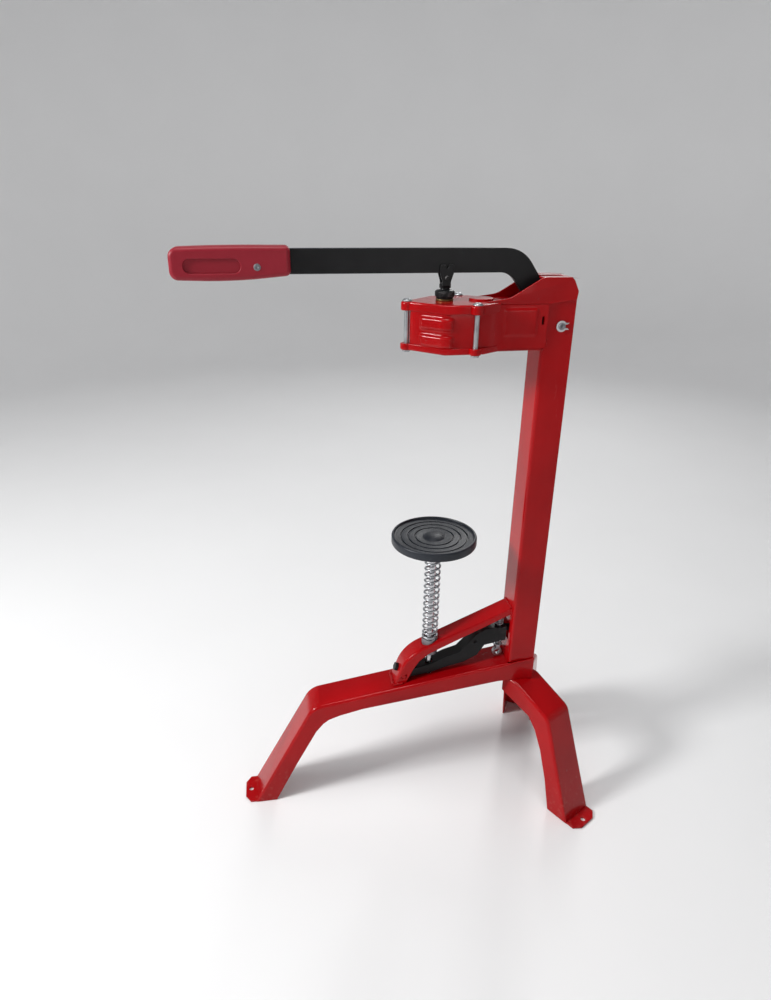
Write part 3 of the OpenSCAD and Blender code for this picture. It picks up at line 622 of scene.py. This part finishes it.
piece("pivot_clips_bent", clips, bright, "frame", "zinc_steel", "pivot_clips")
piece("pivot_spacers_turned", ease(cad_copy("pivot_spacers"), 0.0004, segments=2), zinc, "frame",
      "zinc_steel", "pivot_spacers")


# ---------------------------------------------------------------- hand lever
# One flat steel bar, bent down inside the cheeks to the pivot, in satin black. Its corners
# are only lightly broken. The toe pin takes the pull rod.

lever_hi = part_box("hand_lever")[1]
bar = ease(cad_copy("hand_lever"), 0.0007, segments=3, least=50)
piece("hand_lever_bar", bar, black, "lever", "black_steel", "hand_lever")
piece("toe_pin_riveted", ease(cad_copy("toe_pin"), 0.0003, segments=2, least=60), zinc, "lever",
      "zinc_steel", "toe_pin")


# ---------------------------------------------------------------- grip
# The grip is moulded over the bar's end in dull crimson plastic: a soft, full section with
# a long oval thumb recess on each flank, and one rivet.

def grip_plastic():
    material, shader, wire = new_finish("grip plastic", Specular_IOR_Level=0.32)
    ridge = wire.add("NewGeometry", out=7)
    cloud, spark = grain(wire, 45, 4), grain(wire, 1100, 3)
    flow = grain(wire, 30, 3, (0.25, 1, 1), 0.6)
    rub = ridge.rise(0.51, 0.58) * grain(wire, 150, 5).rise(0.4, 0.7)
    shade = wire.mix(cloud * 0.6 + flow * 0.4, (0.20, 0.003, 0.012), (0.30, 0.008, 0.022))
    shade = wire.mix(rub * 0.4, shade, (0.58, 0.07, 0.10))
    feed(shader, wire, Base_Color=shade, Roughness=0.38 + cloud * 0.14 - rub * 0.08,
         Normal=bumps(wire, (spark, 0.00018, 0.4), (flow, 0.0008, 0.15)))
    return material


grip_lo, grip_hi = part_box("lever_grip")
gx, gw = grip_lo.x, (grip_hi.y - grip_lo.y) / 2
bar_low = lever_hi.z - 0.028
outline = [((0.000, -0.005), 0.0150), ((0.068, -0.007), 0.050), ((0.134, -0.001), 0.0092),
           ((0.134, 0.031), 0.0092), ((0.060, 0.0315), 0.050), ((0.000, 0.0295), 0.0170)]
grip = bmesh.new()
rim = [grip.verts.new((gx + px, -gw, bar_low + pz)) for (px, pz), _ in outline]
grip.faces.new(rim)
deep = bmesh.ops.extrude_face_region(grip, geom=grip.faces[:])["geom"]
bmesh.ops.translate(grip, verts=[v for v in deep if isinstance(v, bmesh.types.BMVert)],
                    vec=(0, 2 * gw, 0))
bmesh.ops.recalc_face_normals(grip, faces=grip.faces)
for (px, pz), radius in outline:
    corner = [e for e in grip.edges if abs(e.verts[0].co.y - e.verts[1].co.y) > gw
              and (e.verts[0].co - Vector((gx + px, e.verts[0].co.y, bar_low + pz))).length < 1e-4]
    bmesh.ops.bevel(grip, geom=corner, offset=radius * 0.6, offset_type="OFFSET", segments=6,
                    profile=0.5, affect="EDGES", clamp_overlap=False, material=-1)
lips = [e for e in grip.edges if abs(e.verts[0].co.y - e.verts[1].co.y) < 1e-6]
bmesh.ops.bevel(grip, geom=lips, offset=0.0052, offset_type="OFFSET", segments=6, profile=0.5,
                affect="EDGES", clamp_overlap=False, material=-1)
hollow = bmesh.new()
for s in (-1, 1):
    cut = bmesh.ops.create_circle(hollow, cap_ends=True, segments=40, radius=0.0078)["verts"]
    for v in cut:
        v.co.x += 0.0235 if v.co.x > 1e-6 else -0.0235 if v.co.x < -1e-6 else 0
    bmesh.ops.rotate(hollow, verts=cut, matrix=Matrix.Rotation(math.pi / 2, 3, "X"))
    bmesh.ops.translate(hollow, verts=cut, vec=(gx + 0.047, s * (gw - 0.0026), bar_low + 0.010))
    cap = list({f for v in cut for f in v.link_faces})
    out = bmesh.ops.extrude_face_region(hollow, geom=cap)["geom"]
    bmesh.ops.translate(hollow, verts=[v for v in out if isinstance(v, bmesh.types.BMVert)],
                        vec=(0, s * 0.01, 0))
bmesh.ops.create_cube(hollow, size=1.0, matrix=Matrix.Translation(
    (gx + 0.018 + 0.07, 0, bar_low + 0.014)) @ Matrix.Diagonal((0.14, 0.0082, 0.0282, 1)))
bmesh.ops.recalc_face_normals(hollow, faces=hollow.faces)
knife_mesh = bpy.data.meshes.new("grip hollows")
hollow.to_mesh(knife_mesh)
hollow.free()
knife = bpy.data.objects.new("grip_hollows", knife_mesh)
bpy.context.scene.collection.objects.link(knife)
blank_mesh = bpy.data.meshes.new("grip blank")
grip.to_mesh(blank_mesh)
grip.free()
blank = bpy.data.objects.new("grip_blank", blank_mesh)
bpy.context.scene.collection.objects.link(blank)
carve = blank.modifiers.new("hollows", "BOOLEAN")
carve.object, carve.operation, carve.solver = knife, "DIFFERENCE", "EXACT"
carved = bpy.data.meshes.new_from_object(blank.evaluated_get(bpy.context.evaluated_depsgraph_get()))
grip = bmesh.new()
grip.from_mesh(carved)
for leftover in (blank, knife):
    bpy.data.objects.remove(leftover)
bmesh.ops.remove_doubles(grip, verts=grip.verts, dist=1e-6)
ease(grip, 0.0011, lambda m, d, n: abs(m.y) > gw - 0.001, segments=4, least=45)
piece("grip_moulding", grip, grip_plastic(), "lever", "grip_plastic", "lever_grip", crease=50)

rivet_lo, rivet_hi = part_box("grip_rivet")
rivet_at = Vector(((rivet_lo.x + rivet_hi.x) / 2, 0, (rivet_lo.z + rivet_hi.z) / 2))
rivet = bmesh.new()
y = rivet_hi.y
turned(rivet, [(0, -y + 0.0006), (0.0011, -y + 0.0004), (0.0016, -y), (0.0027, -y + 0.0001),
               (0.0039, -y + 0.0007), (0.004, -y + 0.0011), (0.0025, -y + 0.0013),
               (0.0025, y - 0.0013), (0.004, y - 0.0011), (0.0039, y - 0.0007),
               (0.0027, y - 0.0001), (0.0016, y), (0.0011, y - 0.0004), (0, y - 0.0006)],
       rivet_at, "Y", steps=32)
piece("grip_rivet_head", rivet, dark_steel, "lever", "rivet_steel", "grip_rivet")


# ---------------------------------------------------------------- bottle platform
# A black moulded plate, ringed with shallow grooves round a low dome, sits on a bright rod.
# A zinc-plated spring of round wire holds it up, its end turns closed.

def plate_plastic():
    material, shader, wire = new_finish("plate plastic", Specular_IOR_Level=0.35)
    ridge = wire.add("NewGeometry", out=7)
    centred = wire.add("Mapping", {"Vector": wire.place, "Location": (-axis_x, 0, 0)})
    flat = wire.add("VectorMath", {0: centred, 1: (1, 1, 0)}, operation="MULTIPLY")
    reach = wire.add("VectorMath", {0: flat}, out=1, operation="LENGTH")
    turning = wire.math("SINE", reach * 7200)
    cloud, scratch = grain(wire, 30, 5), grain(wire, 420, 6, (0.08, 1, 1), 0.7)
    haze, rub = scratch.rise(0.58, 0.74), ridge.rise(0.52, 0.6)
    shade = wire.mix(cloud, (0.006, 0.0075, 0.011), (0.014, 0.018, 0.026))
    shade = wire.mix(haze * 0.3 + rub * 0.25, shade, (0.09, 0.10, 0.12))
    feed(shader, wire, Base_Color=shade, Roughness=0.30 + cloud * 0.16 + haze * 0.2,
         Normal=bumps(wire, (turning, 0.00006, 0.35), (grain(wire, 800, 2), 0.00015, 0.3)))
    return material


plate_r, plate_x = (plate_hi.x - plate_lo.x) / 2, axis_x
top, under = plate_hi.z, plate_lo.z
profile = [(0, top - 0.0002), (0.006, top - 0.0003), (0.0095, top - 0.0009), (0.0128, top - 0.0022),
           (0.0150, top - 0.0034), (0.0165, top - 0.0042)]
for groove in (0.028, 0.038, 0.048):
    profile += [(groove - 0.0032, top - 0.0032), (groove - 0.0024, top - 0.0034),
                (groove - 0.0020, top - 0.0047),
                (groove - 0.0004, top - 0.0047), (groove, top - 0.0034),
                (groove + 0.0007, top - 0.0032)]
profile += [(plate_r - 0.0052, top - 0.0031), (plate_r - 0.0042, top - 0.0026),
            (plate_r - 0.0038, top - 0.0006),
            (plate_r - 0.0032, top), (plate_r - 0.0020, top), (plate_r - 0.0008, top - 0.0007),
            (plate_r, top - 0.0022), (plate_r, top - 0.0106), (plate_r - 0.0006, top - 0.0117),
            (plate_r - 0.0020, top - 0.0120), (plate_r - 0.0030, top - 0.0112),
            (plate_r - 0.0032, top - 0.0085),
            (0.0163, top - 0.0082), (0.0156, top - 0.0090), (0.0154, under + 0.0008),
            (0.0147, under),
            (0.0133, under), (0.0126, under + 0.0008), (0.0125, top - 0.0138),
            (0.0052, top - 0.0138),
            (0.0050, top - 0.0084), (0, top - 0.0082)]
plate = bmesh.new()
turned(plate, profile, (plate_x, 0, 0), steps=144)
piece("bottle_plate_moulding", plate, plate_plastic(), "platform", "plate_plastic", "bottle_plate")

prod_lo, prod_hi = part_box("platform_rod")
prod_r = (prod_hi.x - prod_lo.x) / 2
prod = bmesh.new()
turned(prod, [(0, prod_lo.z), (prod_r - 0.0016, prod_lo.z), (prod_r, prod_lo.z + 0.002),
              (prod_r, prod_lo.z + 0.0060), (prod_r - 0.0008, prod_lo.z + 0.0064),
              (prod_r - 0.0008, prod_lo.z + 0.0080), (prod_r, prod_lo.z + 0.0084),
              (prod_r, prod_hi.z), (0, prod_hi.z)], (axis_x, 0, 0), steps=48)
piece("platform_rod_turned", prod, bright, "platform", "bright_steel", "platform_rod")
piece("stop_ring_turned", ease(cad_copy("stop_ring"), 0.0005, segments=2), zinc, "platform",
      "zinc_steel", "stop_ring")

spring_lo, spring_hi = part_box("platform_spring")
spring_wire, spring_r = 0.003, (spring_hi.x - spring_lo.x) / 2
height = spring_hi.z - spring_lo.z - spring_wire
spring = bmesh.new()
wire_coil(spring, Vector((axis_x, 0, 0)), spring_r - spring_wire / 2, spring_wire, spring_lo.z,
          [(1.0, 0.0031), (15.2, (height - 2 * 0.0031) / 15.2), (1.0, 0.0031)], sides=14, steps=40)
spring_zinc = plated("spring zinc", (0.28, 0.29, 0.31), (0.52, 0.54, 0.56), 0.2, (1, 1, 1), 600)
coil = piece("platform_spring_wound", spring, spring_zinc, "frame", "spring_zinc",
             "platform_spring",
             crease=60)
slides = next(j for j in frame["joints"] if j["name"] == "platform_slide")
1 + slides["range_m"][0] / (spring_hi.z - spring_lo.z)
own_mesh(coil)

bush = ease(cad_copy("guide_bush"), 0.0008, segments=3, least=50)
piece("guide_bush_turned", bush, dark_steel, "frame", "zinc_steel", "guide_bush")


# ---------------------------------------------------------------- lock
# Under the arch a black channel lever hangs on a cross pin and grips the platform rod when
# the hand lever comes down. A black hex stop bolt closes the bracket's foot.

lock = ease(cad_copy("lock_lever"), 0.0008, segments=3, least=50)
piece("lock_lever_pressing", lock, black, "lock", "black_steel", "lock_lever")
piece("tail_pin_riveted", ease(cad_copy("tail_pin"), 0.0003, segments=2, least=60), zinc, "lock",
      "zinc_steel", "tail_pin")
piece("lock_pin_riveted", ease(cad_copy("lock_pin"), 0.0005, segments=3, least=60), enamel, "frame",
      "zinc_steel", "lock_pin")
stop = ease(cad_copy("stop_bolt"), 0.0008, segments=3, least=50)
piece("stop_bolt_hex", stop, black, "frame", "black_steel", "stop_bolt")
piece("pull_rod_forged", ease(cad_copy("pull_rod"), 0.0004, segments=2, least=60), zinc, "pull",
      "zinc_steel", "pull_rod")

draw_lo, draw_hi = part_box("draw_bolt")
draw_at = Vector(((draw_lo.x + draw_hi.x) / 2, 0, 0))
draw = ease(cad_copy("draw_bolt"), 0.0004, segments=2, least=50)
threads = bmesh.new()
wire_coil(threads, draw_at, 0.0029, 0.0006, draw_lo.z + 0.0225, [(44, 0.001)], sides=6, steps=18)
carried = bpy.data.meshes.new("thread")
threads.to_mesh(carried)
threads.free()
draw.from_mesh(carried)
bpy.data.meshes.remove(carried)
piece("draw_bolt_threaded", draw, zinc, "frame", "zinc_steel", "draw_bolt", crease=45)

lock_lo, lock_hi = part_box("lock_spring")
lock_r = (lock_hi.x - lock_lo.x) / 2
small = bmesh.new()
run = lock_hi.z - lock_lo.z - 0.0018
wire_coil(small, draw_at, lock_r - 0.0009, 0.0018, lock_lo.z,
          [(1.0, 0.0019), (4.4, (run - 2 * 0.0019) / 4.4), (1.0, 0.0019)], sides=12, steps=36)
piece("lock_spring_wound", small, spring_zinc, "frame", "spring_zinc", "lock_spring", crease=60)


# ---------------------------------------------------------------- floor, light and camera
# A pale floor that runs up into a pale wall all round. A lamp from the left, a weak one in
# front, one overhead, and a strip behind that draws the long highlights in the enamel.

def studio_paper():
    material, shader, wire = new_finish("studio paper")
    cloud = grain(wire, 3, 4)
    feed(shader, wire, Base_Color=wire.mix(cloud, (0.84, 0.84, 0.84), (0.88, 0.88, 0.88)),
         Roughness=0.75 + cloud * 0.1)
    return material


paper = bmesh.new()
sweep = [(3.0 + 1.1 * math.sin(a), 1.1 - 1.1 * math.cos(a)) for a in
         (math.radians(10 * i) for i in range(10))]
turned(paper, [(0, 0), (1.5, 0), *sweep, (4.1, 3.0)], (0, 0, 0), steps=96)
bowl_middle = Vector((0, 0, 1.5))
bmesh.ops.reverse_faces(paper, faces=[f for f in paper.faces if
                                      f.normal.dot(bowl_middle - f.calc_center_median()) < 0])
ground = bpy.data.meshes.new("floor")
paper.to_mesh(ground)
paper.free()
ground.polygons.foreach_set("use_smooth", [True] * len(ground.polygons))
ground.materials.append(studio_paper())
floor = bpy.data.objects.new("floor", ground)
floor.location.z = -0.0004
bpy.context.scene.collection.objects.link(floor)


def lamp(name, place, target, size, power, tint=(1, 1, 1), stretch=1.0):
    light = bpy.data.lights.new(name, "AREA")
    light.shape, light.size, light.size_y = "RECTANGLE", size, size * stretch
    light.energy, light.color = power, tint
    made = bpy.data.objects.new(name, light)
    made.matrix_world = Matrix.Translation(place) @ (
        Vector(target) - Vector(place)).to_track_quat("-Z", "Y").to_matrix().to_4x4()
    bpy.context.scene.collection.objects.link(made)


middle = (cad_box[0] + cad_box[1]) / 2
lamp("key", (-2.3, -0.55, 1.7), middle, 0.5, 58)
lamp("fill", (0.6, -2.4, 0.9), middle, 0.9, 4, (1.0, 0.98, 0.95))
lamp("strip", (0.9, 1.9, 2.0), middle, 0.35, 14, stretch=4.0)
lamp("overhead", (-0.3, -0.2, 2.6), middle, 0.9, 20)
world = bpy.data.worlds.new("studio")
world.use_nodes = True
world.node_tree.nodes["Background"].inputs["Color"].default_value = (0.95, 0.96, 1.0, 1)
world.node_tree.nodes["Background"].inputs["Strength"].default_value = 0.2
bpy.context.scene.world = world
bpy.context.scene.view_settings.view_transform = "Standard"

eye = Vector((axis_x - 0.21141, -0.82746, 0.87419))
yaw, pitch, roll = (math.radians(a) for a in (9.51, 24.27, 0.53))
ahead = Vector((math.sin(yaw) * math.cos(pitch), math.cos(yaw) * math.cos(pitch), -math.sin(pitch)))
level = Vector((math.cos(yaw), -math.sin(yaw), 0))
over = level.cross(ahead)
right = level * math.cos(roll) + over * math.sin(roll)
above = over * math.cos(roll) - level * math.sin(roll)
lens = bpy.data.cameras.new("camera")
lens.sensor_width, lens.lens = 36, 24.4526
lens.shift_x, lens.shift_y = 0.00214, 0.00091
lens.clip_start, lens.clip_end = 0.02, 40
camera = bpy.data.objects.new("camera", lens)
turn = Matrix((right, above, -ahead)).transposed()
camera.matrix_world = Matrix.Translation(eye) @ turn.to_4x4()
bpy.context.scene.collection.objects.link(camera)
bpy.context.scene.camera = camera
